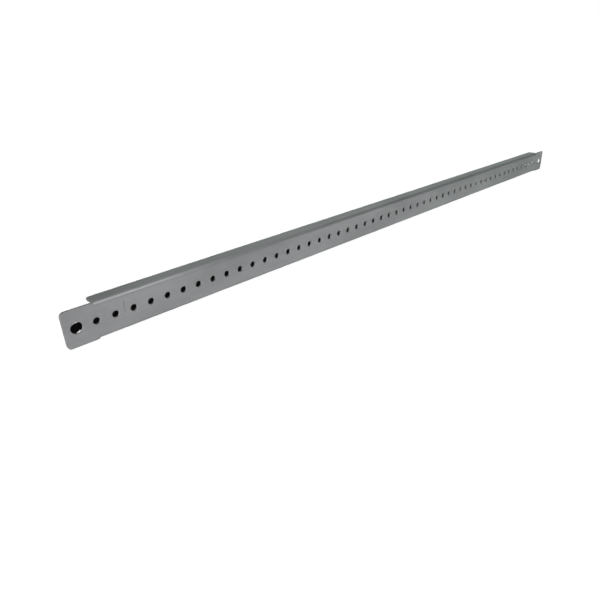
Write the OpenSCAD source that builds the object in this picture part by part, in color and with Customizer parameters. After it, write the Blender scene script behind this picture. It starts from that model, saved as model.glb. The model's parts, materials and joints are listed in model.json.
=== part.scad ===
// Door support rail: one strip of zinc-coated sheet steel, punched with a row of holes and bent
// to a channel whose web runs on past the flanges as two flat fixing tabs.
// X runs along the rail, -Y is the front of the web and Z = 0 is the underside of the lower flange.

/* [Channel] */
// Distance between the centres of the two fixing holes
fixing_centres = 670; // [170:5:1970]
// Height over the outsides of the two flanges
channel_height = 25; // [20:0.5:60]
// Depth from the front of the web to the free edges of the flanges
channel_depth = 11.5; // [10:0.5:40]
// Thickness of the sheet
sheet_t = 1.5; // [0.8:0.1:2.5]
// Inside radius of the two bends
bend_r = 1.5; // [0.5:0.1:3]
// Radius of the free corners of the flanges, seen from above
flange_corner_r = 2; // [0.5:0.1:4]

/* [End tabs] */
// Distance from a fixing hole to the end of its tab
tab_margin = 8; // [6:0.5:16]
// Distance from a fixing hole to the ends of the flanges
flange_setback = 12.5; // [8:0.5:30]
// Radius of the outer corners of a tab
tab_corner_r = 3; // [0.5:0.1:6]
// Radius of the tab corners beside the bends, which free the tab from the flanges
relief_r = 1.5; // [0.3:0.1:3]

/* [Holes] */
// Diameter of the two fixing holes
fixing_d = 7.7; // [4:0.1:9]
// Diameter of the holes in the row
row_d = 4.7; // [2:0.1:8]
// Distance from hole to hole in the row, which starts one pitch from the left fixing hole
row_pitch = 12.5; // [10:0.5:50]

/* [Hidden] */
$fn = 64;
zinc_grey = [0.55, 0.56, 0.57];
// How far a punch runs past each face of the sheet
punch_over = 1;

bend_r_out = bend_r + sheet_t;
tab_length = tab_margin + flange_setback;
rail_length = fixing_centres + 2 * tab_margin;
flange_length = fixing_centres - 2 * flange_setback;
front_y = -channel_depth / 2;
row_z = channel_height / 2;

// The row keeps at least one pitch from the right fixing hole, so what is left over lies there
row_count = floor((fixing_centres - row_pitch) / row_pitch);
row_x = [for (i = [1 : row_count]) -fixing_centres / 2 + i * row_pitch];
fixing_x = [-fixing_centres / 2, fixing_centres / 2];

// Right-hand tab in the plane of the web, from the flange ends outwards, its four corners round
module tab_outline() {
    translate([relief_r, 0])
        square([tab_length - relief_r - tab_corner_r, channel_height]);
    translate([0, relief_r])
        square([relief_r, channel_height - 2 * relief_r]);
    translate([tab_length - tab_corner_r, tab_corner_r])
        square([tab_corner_r, channel_height - 2 * tab_corner_r]);
    for (z = [relief_r, channel_height - relief_r])
        translate([relief_r, z])
            circle(r = relief_r);
    for (z = [tab_corner_r, channel_height - tab_corner_r])
        translate([tab_length - tab_corner_r, z])
            circle(r = tab_corner_r);
}

// Flat of the web between its two bend lines, with a tab at each end
module web_outline() {
    translate([-flange_length / 2, bend_r_out])
        square([flange_length, channel_height - 2 * bend_r_out]);
    for (end = [0, 1])
        mirror([end, 0])
            translate([flange_length / 2, 0])
                tab_outline();
}

// The sheet that stays flat, with its front face on the plane y = front_y
module web() {
    translate([0, front_y + sheet_t, 0])
        rotate([90, 0, 0])
            linear_extrude(sheet_t)
                web_outline();
}

// Section of the upper flange: a quarter bend from the web, then the flat to the free edge
module flange_section() {
    translate([bend_r_out, channel_height - bend_r_out]) {
        intersection() {
            difference() {
                circle(r = bend_r_out);
                circle(r = bend_r);
            }
            translate([-bend_r_out, 0])
                square(bend_r_out);
        }
        translate([0, bend_r])
            square([channel_depth - bend_r_out, sheet_t]);
    }
}

// Flange seen from above: square-cut ends and round free corners
module flange_plan() {
    straight = flange_length - 2 * flange_corner_r;
    translate([-flange_length / 2, 0])
        square([flange_length, channel_depth - flange_corner_r]);
    translate([-straight / 2, 0])
        square([straight, channel_depth]);
    for (x = [-straight / 2, straight / 2])
        translate([x, channel_depth - flange_corner_r])
            circle(r = flange_corner_r);
}

// Upper flange with its bend
module flange() {
    translate([0, front_y, 0])
        intersection() {
            translate([-flange_length / 2, 0, 0])
                rotate([90, 0, 90])
                    linear_extrude(flange_length)
                        flange_section();
            linear_extrude(channel_height)
                flange_plan();
        }
}

// Punch of diameter d through the web, at x on the line of the row
module punch(x, d) {
    translate([x, front_y + sheet_t + punch_over, row_z])
        rotate([90, 0, 0])
            cylinder(d = d, h = sheet_t + 2 * punch_over);
}

module support_rail() {
    color(zinc_grey)
        difference() {
            union() {
                web();
                flange();
                translate([0, 0, channel_height])
                    mirror([0, 0, 1])
                        flange();
            }
            for (x = row_x)
                punch(x, row_d);
            for (x = fixing_x)
                punch(x, fixing_d);
        }
}

support_rail();
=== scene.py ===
"""Door support rail: a strip of zinc-coated sheet, punched, bent to a channel and set on a pale floor."""
import json
import math

import bpy
import bmesh
import numpy as np
from mathutils import Matrix, Vector, geometry


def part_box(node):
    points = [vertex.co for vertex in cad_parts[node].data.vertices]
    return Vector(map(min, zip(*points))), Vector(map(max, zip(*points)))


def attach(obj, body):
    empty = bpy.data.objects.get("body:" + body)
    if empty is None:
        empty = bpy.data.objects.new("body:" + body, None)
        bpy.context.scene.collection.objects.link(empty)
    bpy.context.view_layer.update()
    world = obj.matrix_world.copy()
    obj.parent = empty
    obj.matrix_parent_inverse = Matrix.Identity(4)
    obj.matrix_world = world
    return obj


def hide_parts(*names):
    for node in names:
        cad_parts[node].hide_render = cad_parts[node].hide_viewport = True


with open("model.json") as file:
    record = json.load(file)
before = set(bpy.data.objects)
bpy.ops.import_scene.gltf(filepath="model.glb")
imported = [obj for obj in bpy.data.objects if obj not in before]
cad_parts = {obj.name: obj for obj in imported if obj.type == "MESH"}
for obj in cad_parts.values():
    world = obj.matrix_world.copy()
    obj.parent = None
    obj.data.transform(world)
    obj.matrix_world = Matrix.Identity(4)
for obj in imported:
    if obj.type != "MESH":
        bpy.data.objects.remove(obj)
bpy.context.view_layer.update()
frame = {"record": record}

# Sizes of the rail, in metres

MM = 0.001
RAIL = "support_rail"
PIECE = "punched_rail"
low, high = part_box(RAIL)
LENGTH, DEPTH, HEIGHT = high - low
FRONT_Y = low.y
ROW_Z = (low.z + high.z) / 2

# The holes. Only some of the row are stated, and the first and last of them are its ends
ROW_HOLE = "row_hole_"
mounts = {mount["name"]: mount for mount in frame["record"]["mounts"]}
FIXING_X = mounts["fixing_holes"]["dims"]["spacing_x_mm"] / 2 * MM
FIXING_R = mounts["fixing_holes"]["dims"]["hole_r_mm"] * MM
stated_row = {int(name.removeprefix(ROW_HOLE)): mount
              for name, mount in mounts.items() if name.startswith(ROW_HOLE)}
FIRST, LAST = min(stated_row), max(stated_row)
ROW_R = stated_row[FIRST]["dims"]["r_mm"] * MM
SHEET = stated_row[FIRST]["dims"]["length_mm"] * MM
ROW_X = np.linspace(stated_row[FIRST]["pos_m"][0], stated_row[LAST]["pos_m"][0], LAST - FIRST + 1)
ROW_PITCH = ROW_X[1] - ROW_X[0]
HOLE_X = np.concatenate([ROW_X, [-FIXING_X, FIXING_X]])
HOLE_R = np.concatenate([np.full(len(ROW_X), ROW_R), [FIXING_R, FIXING_R]])

BEND_R = 1.5 * MM
BEND_R_OUT = BEND_R + SHEET
FLANGE_SETBACK = 12.5 * MM
FLANGE_CORNER_R = 2 * MM
TAB_CORNER_R = 3 * MM
RELIEF_R = 1.5 * MM
FLANGE_END = FIXING_X - FLANGE_SETBACK

# The hairline slit that parts a tab from the end of its bend. Where it ends, the profile of the cut edge
# is narrowed to a share of its usual width
SLIT = 0.04 * MM
SLIT_PAST_BEND = 0.05 * MM
SLIT_ROLL = 0.1

# The blank across its width, from the line of holes: half the flat web, the bend, the free edge
WEB_HALF = HEIGHT / 2 - BEND_R_OUT
BEND_ARC = math.pi / 2 * (BEND_R_OUT - SHEET / 2)
FREE_EDGE = WEB_HALF + BEND_ARC + DEPTH - BEND_R_OUT

# Edges left by the shear and the punch. The burnished wall ends at a share of the sheet's thickness
ROLL = 0.22 * MM
BURNISHED = 0.45
FRACTURE = 0.05 * MM
BACK_EDGE = 0.1 * MM

# The order of the rail's materials
ZINC, SHEARED, PUNCHED = 0, 1, 2

# Points along each round
ROLL_STEPS, BACK_STEPS, CORNER_STEPS, BEND_STEPS = 5, 3, 7, 9
ROW_HOLE_STEPS, FIXING_HOLE_STEPS = 40, 56

# Tolerances: lengths in metres, a share of a segment, and decimals of a place on a loop
SAME_LENGTH = 1e-9
TOUCHING = 1e-8
WELD = 1e-6
SEGMENT_END = 1e-6
PLACE_DECIMALS = 9

# The triangulation fills the whole hull, and in the shading the larger faces lead
WHOLE_HULL = 0
FACE_WEIGHT = 100


def place(name, data):
    """A new object of that name in the scene."""
    made = bpy.data.objects.new(name, data)
    bpy.context.scene.collection.objects.link(made)
    return made


# The punched blank, laid out flat

def round_corners(corners, radii, steps):
    """A loop of right-angled corners, each replaced by an arc. With a and b the directions to the corner
    before and after, the arc is corner + r(a + b) - r(b cos t + a sin t) for t from 0 to 90 degrees.
    Returns the points and the directions into the sheet, which lies on the loop's left."""
    before = np.roll(corners, 1, axis=0) - corners
    after = np.roll(corners, -1, axis=0) - corners
    a = before / np.linalg.norm(before, axis=1, keepdims=True)
    b = after / np.linalg.norm(after, axis=1, keepdims=True)
    turn = np.linspace(0, math.pi / 2, steps)[None, :, None]
    outwards = b[:, None] * np.cos(turn) + a[:, None] * np.sin(turn)
    r = radii[:, None, None]
    points = corners[:, None] + r * (a + b)[:, None] - r * outwards
    convex = np.sign(a[:, 1] * b[:, 0] - a[:, 0] * b[:, 1])[:, None, None]
    return points.reshape(-1, 2), (convex * outwards).reshape(-1, 2)


def blank_outline():
    """The blank's outline, anticlockwise: one quarter of it, then its mirror images in turn. A quarter runs
    round the end tab, down the slit beside the bend and up the end of the flange to its free edge."""
    tab_side = FLANGE_END + SLIT
    slit_end = WEB_HALF - SLIT_PAST_BEND
    quarter = np.array([(LENGTH / 2, HEIGHT / 2), (tab_side, HEIGHT / 2), (tab_side, slit_end),
                        (FLANGE_END, slit_end), (FLANGE_END, FREE_EDGE)])
    radii = np.array([TAB_CORNER_R, RELIEF_R, SLIT / 2, SLIT / 2, FLANGE_CORNER_R])
    rolls = np.array([1, 1, SLIT_ROLL, SLIT_ROLL, 1])
    corners = np.concatenate([quarter, (quarter * (-1, 1))[::-1], -quarter, (quarter * (1, -1))[::-1]])
    points, inward = round_corners(corners, np.concatenate([radii, radii[::-1]] * 2), CORNER_STEPS)
    share = np.repeat(np.concatenate([rolls, rolls[::-1]] * 2), CORNER_STEPS)
    return points, inward * share[:, None]


def hole_outline(x, radius, steps):
    """A punched circle about (x, 0), clockwise, so that the sheet lies on its left."""
    turn = -np.linspace(0, 2 * math.pi, steps, endpoint=False)
    outwards = np.stack([np.cos(turn), np.sin(turn)], axis=1)
    return outwards * radius + (x, 0), outwards


def cut_at_lines(points, inward, along, across):
    """The same loop with a point added wherever a straight stretch of it crosses a line u = along or
    v = across. A crossing of segment k at its share t has the place k + t on the loop, and all places are
    then filled in linearly. The arcs are left as they are, because they lie where the sheet stays flat."""
    count = len(points)
    closed = np.concatenate([points, points[:1]])
    closed_inward = np.concatenate([inward, inward[:1]])
    straight = np.abs(np.diff(closed, axis=0)).min(axis=1, keepdims=True) < SAME_LENGTH
    places = [np.arange(count, dtype=float)]
    for axis, crossed in ((0, along), (1, across)):
        start, end = closed[:-1, axis, None], closed[1:, axis, None]
        span = np.where(np.abs(end - start) < SAME_LENGTH, np.inf, end - start)
        share = (crossed[None] - start) / span
        inside = straight & (share > SEGMENT_END) & (share < 1 - SEGMENT_END)
        places.append((np.arange(count)[:, None] + share)[inside])
    order = np.unique(np.round(np.concatenate(places), PLACE_DECIMALS))
    whole = np.arange(count + 1)
    filled = [np.interp(order, whole, column) for column in (*closed.T, *closed_inward.T)]
    return np.stack(filled[:2], axis=1), np.stack(filled[2:], axis=1)


# From the flat blank to the bent rail

def bend(u, v, w):
    """Where a point of the blank ends up: u along the rail, v across it from the line of holes, w below the
    outer face. Up to the bend line the sheet stays flat. Then it turns through 90 degrees on a radius of
    BEND_R_OUT - w, and past BEND_ARC it is flat again as the flange. The tabs, past FLANGE_END, stay flat."""
    side = np.sign(v)
    past = np.where(np.abs(u) < FLANGE_END + SLIT / 2, np.abs(v) - WEB_HALF, 0.0)
    turn = np.clip(past / BEND_ARC, 0, 1) * math.pi / 2
    radius = BEND_R_OUT - w
    flange = np.clip(past - BEND_ARC, 0, None)
    y = np.where(past > 0, BEND_R_OUT - radius * np.cos(turn) + flange, w)
    z = np.where(past > 0, side * (WEB_HALF + radius * np.sin(turn)), v)
    return np.stack(np.broadcast_arrays(u, FRONT_Y + y, ROW_Z + z), axis=-1)


def cut_edge_profile():
    """Section of a sheared edge as (distance into the sheet, depth): a rolled-over quarter round at the
    front, a burnished wall, a broken wall that leans back, and a small round at the back."""
    front = np.linspace(0, math.pi / 2, ROLL_STEPS)
    back = np.linspace(0, math.pi / 2, BACK_STEPS)
    into = np.concatenate([ROLL - ROLL * np.sin(front), [0.0],
                           FRACTURE + BACK_EDGE - BACK_EDGE * np.cos(back)])
    depth = np.concatenate([ROLL - ROLL * np.cos(front), [BURNISHED * SHEET],
                            SHEET - BACK_EDGE + BACK_EDGE * np.sin(back)])
    return into, depth


def rim(points, inward):
    """The edge profile carried along a loop of the blank: point + into * inward at each depth, then bent.
    Returns the points, the quads between them, and which quads are cut wall and not rolled-over zinc."""
    into, depth = cut_edge_profile()
    flat = points[:, None] + into[None, :, None] * inward[:, None]
    places = bend(flat[..., 0], flat[..., 1], depth[None])
    count, steps = places.shape[:2]
    k, j = np.meshgrid(np.arange(count), np.arange(steps - 1), indexing="ij")
    after = (k + 1) % count
    quads = np.stack([k * steps + j, k * steps + j + 1, after * steps + j + 1, after * steps + j], axis=-1)
    wall = j >= ROLL_STEPS - 1
    return places.reshape(-1, 3), quads.reshape(-1, 4), wall.ravel()


def within(points, loop):
    """Whether each point lies within a loop: a line from it along +u then crosses the loop an odd number of
    times."""
    start, end = loop[None], np.roll(loop, -1, axis=0)[None]
    u, v = points[:, :1], points[:, 1:]
    spans = (start[..., 1] > v) != (end[..., 1] > v)
    rise = np.where(end[..., 1] == start[..., 1], 1.0, end[..., 1] - start[..., 1])
    crossing = start[..., 0] + (v - start[..., 1]) / rise * (end[..., 0] - start[..., 0])
    return (spans & (u < crossing)).sum(axis=1) % 2 == 1


def triangles_over(rings, lines):
    """Flat points and triangles that keep every edge of closed rings and open lines. They fill the whole
    hull, so that holes and notches are covered too."""
    sizes = [len(part) for part in rings + lines]
    starts = np.cumsum([0, *sizes[:-1]])
    edges = []
    for number, (start, size) in enumerate(zip(starts, sizes)):
        run = start + np.arange(size)
        closed = number < len(rings)
        edges.append(np.stack([run, np.roll(run, -1)], axis=1)[:size if closed else size - 1])
    flat = np.concatenate(rings + lines).tolist()
    made = geometry.delaunay_2d_cdt(flat, np.concatenate(edges).tolist(), [], WHOLE_HULL, TOUCHING, False)
    return np.array(made[0]), np.array(made[2])


def face(loops, inset, depth, along, across):
    """One side of the sheet: the blank inside its loops, each moved inset into the sheet, in triangles that
    keep the bend's own lines, then bent at that depth. Triangles over a hole or outside are left out, and
    the others run anticlockwise as seen from the front."""
    rings = [points + inset * inward for points, inward in loops]
    ends = FLANGE_END - inset
    line_u = np.concatenate([[-ends], along[np.abs(along) < ends], [ends]])
    bend_lines = [np.stack([line_u, np.full_like(line_u, v)], axis=1) for v in across]
    flat, triangles = triangles_over(rings, bend_lines)
    middle = flat[triangles].mean(axis=1)
    nearest = np.abs(middle[:, :1] - HOLE_X[None]).argmin(axis=1)
    distance = np.hypot(middle[:, 0] - HOLE_X[nearest], middle[:, 1])
    triangles = triangles[(distance > HOLE_R[nearest] + inset) & within(middle, rings[0])]
    a, b, c = np.moveaxis(flat[triangles], 1, 0)
    area = (b[:, 0] - a[:, 0]) * (c[:, 1] - a[:, 1]) - (b[:, 1] - a[:, 1]) * (c[:, 0] - a[:, 0])
    forwards = np.where((area > 0)[:, None], triangles, triangles[:, ::-1])
    return bend(flat[:, 0], flat[:, 1], np.full(len(flat), depth)), forwards


def welded(places, faces, finishes):
    """One smooth mesh of all the surfaces, with the points that they share merged."""
    mesh = bpy.data.meshes.new(PIECE)
    mesh.from_pydata(places, [], faces)
    mesh.polygons.foreach_set("material_index", finishes)
    mesh.polygons.foreach_set("use_smooth", np.ones(len(faces), bool))
    shell = bmesh.new()
    shell.from_mesh(mesh)
    bmesh.ops.remove_doubles(shell, verts=shell.verts, dist=WELD)
    shell.to_mesh(mesh)
    shell.free()
    return mesh


def make_rail():
    """The bent rail: a rim round the blank and round each hole, and the two sides of the sheet between. The
    front joins the first points of the edge profile, and the back, with its faces turned, the last."""
    along = np.sort(np.concatenate([ROW_X, ROW_X[:-1] + ROW_PITCH / 2]))
    bend_lines = WEB_HALF + np.linspace(0, BEND_ARC, BEND_STEPS)
    across = np.concatenate([bend_lines, -bend_lines])
    outline = cut_at_lines(*blank_outline(), along, across)
    holes = [hole_outline(x, ROW_R, ROW_HOLE_STEPS) for x in ROW_X]
    holes += [hole_outline(x, FIXING_R, FIXING_HOLE_STEPS) for x in (-FIXING_X, FIXING_X)]
    into, depth = cut_edge_profile()
    places, faces, finishes = [], [], []
    start = 0
    for loop, finish in [(outline, SHEARED)] + [(hole, PUNCHED) for hole in holes]:
        points, quads, wall = rim(*loop)
        places.append(points)
        faces += (quads + start).tolist()
        finishes.append(np.where(wall, finish, ZINC))
        start += len(points)
    for at, order in ((0, 1), (-1, -1)):
        points, triangles = face([outline, *holes], into[at], depth[at], along, across)
        places.append(points)
        faces += (triangles[:, ::order] + start).tolist()
        finishes.append(np.full(len(triangles), ZINC))
        start += len(points)
    rail = place(PIECE, welded(np.concatenate(places), faces, np.concatenate(finishes)))
    even = rail.modifiers.new("even_shading", "WEIGHTED_NORMAL")
    even.weight = FACE_WEIGHT
    return rail


# Values of the finishes

# Patterns of noise: stretch along x, y and z, how fine it is to the metre, detail, and a turn in radians
CLOUDS = ((0.35, 1, 1), 55, 4)
STREAKS = ((0.03, 1, 1), 700, 2)
GRAIN = ((0.5, 1, 1), 1500, 3)
TOOL_LINES = ((1, 0.05, 1), 2600, 2)
SCRATCH_LINES = ((0.06, 1, 1), 240, 1, (0, 0.5, 0))
WORN_AREAS = ((0.5, 1, 1), 70, 2)

# Scratches: the middle of their noise, how far from it they reach, and the noise that counts as worn
NOISE_MIDDLE = 0.5
SCRATCH_WIDTH = 0.01
WORN = (0.5, 0.62)

# The crease on the front, between the second and the third small hole. It fades from a share of its half
# length on. Its line gives the crease's relief and a painted shade in its colour
CREASE_X = -303.8 * MM
CREASE_Z = 16.0 * MM
CREASE_HALF = 4.4 * MM
CREASE_FADES = 0.6
CREASE_LEAN = 0.046
CREASE_WIDTH = 0.4 * MM

# Zinc: its colours, the tint of its reflections at a grazing angle, which is a little green, the grey of the
# painted shade in the crease, the share of each pattern in its tone, the ranges that patterns take up, and
# relief
ZINC_DARK = (0.247, 0.252, 0.257, 1)
ZINC_LIGHT = (0.299, 0.305, 0.311, 1)
ZINC_GRAZING = (0.525, 0.61, 0.54, 1)
# Painted shade: the crease's line is darkened to this grey, where shade falls in the crease
CREASE_SHADE_GREY = 0.15
CLOUD_SHARE = 0.75
STREAK_SHARE = 0.25
ZINC_TONES = (0.36, 0.64)
ZINC_GRAIN = (0.2, 0.8)
ZINC_ROUGHNESS = (0.4, 0.54)
SCRATCH_GLOSS = 0.6
SCRATCH_DEPTH = 0.7
CREASE_DEPTH = 3.0
ZINC_RELIEF = 0.015 * MM

# Cut edges: name, then as greys the dark tone, the light tone and the reflection at a grazing angle. The
# rough wall of a punched hole loses most of its gloss there. The sheared edge's greys are partly bare steel
# and partly painted shade, darker than the steel, for the shade on edges that face away from the light
CUT_EDGES = (("sheared_edge_and_shade", 0.12, 0.18, 1),
             ("punched_wall", 0.28, 0.42, 0.3))
EDGE_TONES = (0.7, 1.3)
EDGE_LINES = (0.3, 0.7)
EDGE_ROUGHNESS = (0.7, 0.86)
EDGE_RELIEF = 0.02 * MM

# Blender's own name of the shader node, and its numbers of the mix node's colour sockets
SHADER = "Principled BSDF"
MIX_FIRST, MIX_SECOND, MIX_COLOUR = 6, 7, 2


# Nodes

def grey(level):
    """The colour of a plain grey."""
    return (level, level, level, 1)


def add(tree, kind, inputs=None, **settings):
    """A node with its settings made and its inputs set, or linked where a socket is given."""
    made = tree.nodes.new(kind)
    for name, value in settings.items():
        setattr(made, name, value)
    for name, value in (inputs or {}).items():
        if isinstance(value, bpy.types.NodeSocket):
            tree.links.new(value, made.inputs[name])
        else:
            made.inputs[name].default_value = value
    return made


def noise(tree, coords, stretch, scale, detail, turn=(0, 0, 0)):
    """Noise on the piece's own coordinates, drawn out where stretch is below 1."""
    laid = add(tree, "ShaderNodeMapping", {"Vector": coords, "Scale": stretch, "Rotation": turn})
    made = add(tree, "ShaderNodeTexNoise", {"Vector": laid.outputs[0], "Scale": scale, "Detail": detail})
    return made.outputs["Fac"]


def ranged(tree, value, from_low, from_high, to_low, to_high, smooth=False):
    """A value carried from one range to another, and held at its ends."""
    kind = "SMOOTHSTEP" if smooth else "LINEAR"
    ends = {"From Min": from_low, "From Max": from_high, "To Min": to_low, "To Max": to_high}
    made = add(tree, "ShaderNodeMapRange", {"Value": value, **ends}, interpolation_type=kind)
    return made.outputs["Result"]


def maths(tree, operation, first, second=0.0):
    """One step of arithmetic on two values, or on the first alone."""
    return add(tree, "ShaderNodeMath", {0: first, 1: second}, operation=operation).outputs[0]


def between(tree, share, first, second):
    """A colour between two others."""
    inputs = {0: share, MIX_FIRST: first, MIX_SECOND: second}
    return add(tree, "ShaderNodeMix", inputs, data_type="RGBA").outputs[MIX_COLOUR]


def relief(tree, shader, height, distance):
    """Height as relief in the shader's normal, where a height of 1 stands for distance."""
    bump = add(tree, "ShaderNodeBump", {"Height": height, "Distance": distance, "Strength": 1.0})
    tree.links.new(bump.outputs[0], shader.inputs["Normal"])


# Effects that the finishes share

def effect(name, outputs):
    """An empty node group with float outputs, its output node and the piece's own coordinates."""
    tree = bpy.data.node_groups.new(name, "ShaderNodeTree")
    for output in outputs:
        tree.interface.new_socket(output, in_out="OUTPUT", socket_type="NodeSocketFloat")
    return tree, tree.nodes.new("NodeGroupOutput"), tree.nodes.new("ShaderNodeTexCoord").outputs["Object"]


def use(tree, effect_group):
    """The outputs of an effect, placed in a material."""
    return add(tree, "ShaderNodeGroup", node_tree=effect_group).outputs


def zinc_bloom():
    """Uneven zinc: wide clouds, streaks left along the strip by the rolls, and a fine grain."""
    tree, out, coords = effect("zinc_bloom", ["Cloud", "Streak", "Grain"])
    tree.links.new(noise(tree, coords, *CLOUDS), out.inputs["Cloud"])
    tree.links.new(noise(tree, coords, *STREAKS), out.inputs["Streak"])
    tree.links.new(noise(tree, coords, *GRAIN), out.inputs["Grain"])
    return tree


def handling_marks():
    """Thin scratches, where a drawn-out noise passes its middle value, kept to a few worn areas, and the
    short crease: a line that leans by CREASE_LEAN, fades at both ends and lies on the front only. The line
    sets the crease's relief and its painted shade."""
    tree, out, coords = effect("handling_marks", ["Scratch", "Crease_and_shade"])
    off_middle = maths(tree, "SUBTRACT", noise(tree, coords, *SCRATCH_LINES), NOISE_MIDDLE)
    thin = ranged(tree, maths(tree, "ABSOLUTE", off_middle), 0, SCRATCH_WIDTH, 1, 0)
    worn = ranged(tree, noise(tree, coords, *WORN_AREAS), *WORN, 0, 1)
    tree.links.new(maths(tree, "MULTIPLY", thin, worn), out.inputs["Scratch"])
    x, y, z = add(tree, "ShaderNodeSeparateXYZ", {0: coords}).outputs
    rise = maths(tree, "SUBTRACT", z, CREASE_Z)
    lean = maths(tree, "MULTIPLY", rise, CREASE_LEAN)
    beside = maths(tree, "SUBTRACT", maths(tree, "SUBTRACT", x, CREASE_X), lean)
    line = ranged(tree, maths(tree, "ABSOLUTE", beside), 0, CREASE_WIDTH, 1, 0, True)
    fade = CREASE_HALF * CREASE_FADES
    ends = ranged(tree, maths(tree, "ABSOLUTE", rise), fade, CREASE_HALF, 1, 0, True)
    front = ranged(tree, y, FRONT_Y + ROLL, FRONT_Y + SHEET / 2, 1, 0)
    crease = maths(tree, "MULTIPLY", maths(tree, "MULTIPLY", line, ends), front)
    tree.links.new(crease, out.inputs["Crease_and_shade"])
    return tree


def shear_lines():
    """Fine lines across the thickness, left on a cut edge by the tool."""
    tree, out, coords = effect("shear_lines", ["Line"])
    tree.links.new(noise(tree, coords, *TOOL_LINES), out.inputs["Line"])
    return tree


# Materials

def material(name, plain):
    """A material with plain values set on its shader. Patterns are linked to the shader later."""
    made = bpy.data.materials.new(name)
    made.use_nodes = True
    for socket, value in plain.items():
        made.node_tree.nodes[SHADER].inputs[socket].default_value = value
    return made


def zinc_sheet(bloom, marks):
    """Rolled zinc on the sides of the sheet: clouds and streaks set its tone, painted shade darkens it along
    the crease, grain and scratches set its gloss, and all but the clouds its relief."""
    made = material("zinc_sheet", {"Metallic": 1.0, "Specular Tint": ZINC_GRAZING})
    tree = made.node_tree
    shader = tree.nodes[SHADER]
    bloom_of, marks_of = use(tree, bloom), use(tree, marks)
    cloud = maths(tree, "MULTIPLY", bloom_of["Cloud"], CLOUD_SHARE)
    streak = maths(tree, "MULTIPLY", bloom_of["Streak"], STREAK_SHARE)
    tone = ranged(tree, maths(tree, "ADD", cloud, streak), *ZINC_TONES, 0, 1)
    clouded = between(tree, tone, ZINC_DARK, ZINC_LIGHT)
    # Painted shade: the colour darkens along the crease, where shade falls in it
    crease_shaded = between(tree, marks_of["Crease_and_shade"], clouded, grey(CREASE_SHADE_GREY))
    tree.links.new(crease_shaded, shader.inputs["Base Color"])
    rubbed = maths(tree, "MULTIPLY", marks_of["Scratch"], SCRATCH_GLOSS)
    dullness = maths(tree, "SUBTRACT", bloom_of["Grain"], rubbed)
    tree.links.new(ranged(tree, dullness, *ZINC_GRAIN, *ZINC_ROUGHNESS), shader.inputs["Roughness"])
    height = maths(tree, "ADD", bloom_of["Grain"], bloom_of["Streak"])
    height = maths(tree, "SUBTRACT", height, maths(tree, "MULTIPLY", marks_of["Scratch"], SCRATCH_DEPTH))
    height = maths(tree, "SUBTRACT", height, maths(tree, "MULTIPLY", marks_of["Crease_and_shade"], CREASE_DEPTH))
    relief(tree, shader, height, ZINC_RELIEF)
    return made


def cut_edge(name, dark, light, grazing, bloom, tool_lines):
    """Bare cut steel, duller than the zinc, with lines across the thickness. Lines and clouds set its tone
    between dark and light, and the lines its gloss and relief. On the sheared edge the dark tone is partly
    painted shade."""
    made = material(name, {"Metallic": 1.0, "Specular Tint": grey(grazing)})
    tree = made.node_tree
    shader = tree.nodes[SHADER]
    line = use(tree, tool_lines)["Line"]
    cloud = use(tree, bloom)["Cloud"]
    tone = ranged(tree, maths(tree, "ADD", line, cloud), *EDGE_TONES, 0, 1)
    tree.links.new(between(tree, tone, grey(dark), grey(light)), shader.inputs["Base Color"])
    tree.links.new(ranged(tree, line, *EDGE_LINES, *EDGE_ROUGHNESS), shader.inputs["Roughness"])
    relief(tree, shader, line, EDGE_RELIEF)
    return made


def finish_rail(rail):
    """The rail's materials, in the order of ZINC, SHEARED and PUNCHED."""
    bloom = zinc_bloom()
    rail.data.materials.append(zinc_sheet(bloom, handling_marks()))
    tool_lines = shear_lines()
    for edge in CUT_EDGES:
        rail.data.materials.append(cut_edge(*edge, bloom, tool_lines))


# Values of the camera, the floor and the light

# Lens and sensor are in millimetres, the other lengths in metres
LENS = 30.05
SENSOR = 36
CLIP_START = 10 * MM
CAMERA_PLACE = Vector((-421.5, -292.1, 151.6)) * MM
CAMERA_AIM = Vector((-149.1, -5.75, -35.3)) * MM
CAMERA_ROLL = math.radians(-2.31)
FLOOR_HALF = 30
FLOOR_WHITE = 0.92

# The key stands further left and higher than the camera, where the rail hides its own shadow. Its
# direction is in degrees
KEY_AZIMUTH = -24.5
KEY_ELEVATION = 34.7
KEY_LEVEL = 1.97
KEY_ANGLE = math.radians(1.5)

# Soft boxes, which show only in reflections: name, place, aim, width and depth, level. The last two are
# there for the back of the rail
NEAR_CORNER = (-FLANGE_END, FRONT_Y, high.z)
SOFT_BOXES = (("high_box", (-0.17, -0.375, 0.43), NEAR_CORNER, (0.34, 0.34), 2.9),
              ("left_box", (-2.2, -0.52, 0.4), NEAR_CORNER, (1.2, 1.2), 11.0),
              ("top_box", (0, 0.12, 1.3), (0, 0, 0), (1.4, 0.5), 0.55),
              ("floor_box", (0, 0.0465, 0.0003), (0, 0.0465, 1), (0.72, 0.08), 0.95))

# The sky: what falls on matt surfaces, its level overhead, the rise up to which it is white and from which
# it is dim, and how steeply it dims towards the front, the left and the right
AMBIENT = 0.004
DIM_SKY = 0.3
WHITE_TO = 0.05
DIM_FROM = 0.4
FRONT_STEEPNESS = 3.5
RIGHT_EASE = 1.5
LEAST_STEEPNESS = 0.22


# Camera, floor and light

def place_camera():
    """The camera looks from CAMERA_PLACE to CAMERA_AIM, then turns by CAMERA_ROLL about that line."""
    data = bpy.data.cameras.new("camera")
    data.sensor_width = SENSOR
    data.lens = LENS
    data.clip_start = CLIP_START
    camera = place("camera", data)
    turn = (CAMERA_AIM - CAMERA_PLACE).to_track_quat("-Z", "Y").to_matrix().to_4x4()
    camera.matrix_world = Matrix.Translation(CAMERA_PLACE) @ turn @ Matrix.Rotation(CAMERA_ROLL, 4, "Z")
    bpy.context.scene.camera = camera


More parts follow.
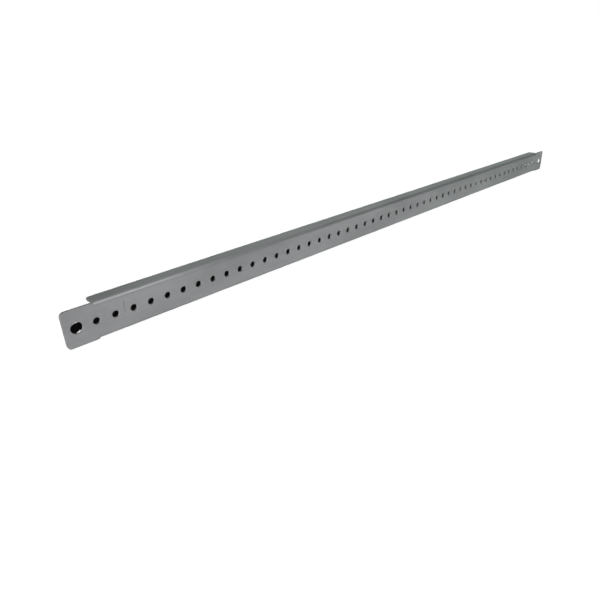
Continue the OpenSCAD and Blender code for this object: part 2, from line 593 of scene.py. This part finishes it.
def lay_floor():
    """A wide matt floor under the rail. Without any gloss it stays dark where it lies in shadow."""
    mesh = bpy.data.meshes.new("floor")
    r = FLOOR_HALF
    mesh.from_pydata([(-r, -r, 0), (r, -r, 0), (r, r, 0), (-r, r, 0)], [], [(0, 1, 2, 3)])
    matt = {"Base Color": grey(FLOOR_WHITE), "Roughness": 1.0, "Specular IOR Level": 0.0}
    mesh.materials.append(material("floor_white", matt))
    place("floor", mesh)


def direction(azimuth, elevation):
    """A direction from the rail: azimuth in degrees from the front towards the right, elevation upwards."""
    a, e = math.radians(azimuth), math.radians(elevation)
    return Vector((math.sin(a) * math.cos(e), -math.cos(a) * math.cos(e), math.sin(e)))


def hang_lights():
    """The key lights the floor and is left out of reflections, so it has no effect on the bare metal. The
    soft boxes light the metal and not the floor. The power of a box grows with its area, so that its level
    is a brightness."""
    sun = bpy.data.lights.new("key", "SUN")
    sun.energy = KEY_LEVEL * math.pi
    sun.angle = KEY_ANGLE
    key = place("key", sun)
    key.rotation_euler = direction(KEY_AZIMUTH, KEY_ELEVATION).to_track_quat("Z", "Y").to_euler()
    key.visible_glossy = False
    for name, spot, aim, (width, depth), level in SOFT_BOXES:
        area = bpy.data.lights.new(name, "AREA")
        area.shape = "RECTANGLE"
        area.size = width
        area.size_y = depth
        area.energy = level * math.pi * width * depth
        box = place(name, area)
        box.location = spot
        box.rotation_euler = (Vector(spot) - Vector(aim)).to_track_quat("Z", "Y").to_euler()
        box.visible_camera = False
        box.visible_diffuse = False


def wrap_in_studio():
    """A room that is white low down and dims with the rise, z times a steepness of 1 - RIGHT_EASE x, but at
    least LEAST_STEEPNESS, plus FRONT_STEEPNESS towards the front: it dims soonest in front and latest on
    the right. What the camera sees, mirrors and clear pieces see too. Only a little of it falls on matt
    surfaces, so that shadows stay dark."""
    world = bpy.data.worlds.new("studio")
    bpy.context.scene.world = world
    world.use_nodes = True
    tree = world.node_tree
    tree.nodes.clear()
    towards = add(tree, "ShaderNodeTexCoord").outputs["Generated"]
    x, y, z = add(tree, "ShaderNodeSeparateXYZ", {0: towards}).outputs
    fronting = maths(tree, "MAXIMUM", maths(tree, "MULTIPLY", y, -FRONT_STEEPNESS), 0.0)
    rightward = maths(tree, "SUBTRACT", 1.0, maths(tree, "MULTIPLY", x, RIGHT_EASE))
    steepness = maths(tree, "ADD", maths(tree, "MAXIMUM", rightward, LEAST_STEEPNESS), fronting)
    rise = maths(tree, "MULTIPLY", z, steepness)
    shade = ranged(tree, rise, WHITE_TO, DIM_FROM, 1, DIM_SKY, True)
    seen = add(tree, "ShaderNodeBackground", {"Color": shade})
    dim = add(tree, "ShaderNodeBackground", {"Color": grey(1), "Strength": AMBIENT})
    path = add(tree, "ShaderNodeLightPath").outputs
    sees = maths(tree, "MAXIMUM", path["Is Camera Ray"], path["Is Glossy Ray"])
    sees = maths(tree, "MAXIMUM", sees, path["Is Transmission Ray"])
    mix = add(tree, "ShaderNodeMixShader", {0: sees, 1: dim.outputs[0], 2: seen.outputs[0]})
    add(tree, "ShaderNodeOutputWorld", {"Surface": mix.outputs[0]})


# The rail in its studio

place_camera()
rail = make_rail()
finish_rail(rail)
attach(rail, "root")
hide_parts(RAIL)
lay_floor()
hang_lights()
wrap_in_studio()
bpy.context.scene.view_settings.view_transform = "Standard"
# Light that the metal throws onto the floor is left out, so that the floor behind the holes stays dark
bpy.context.scene.cycles.caustics_reflective = False
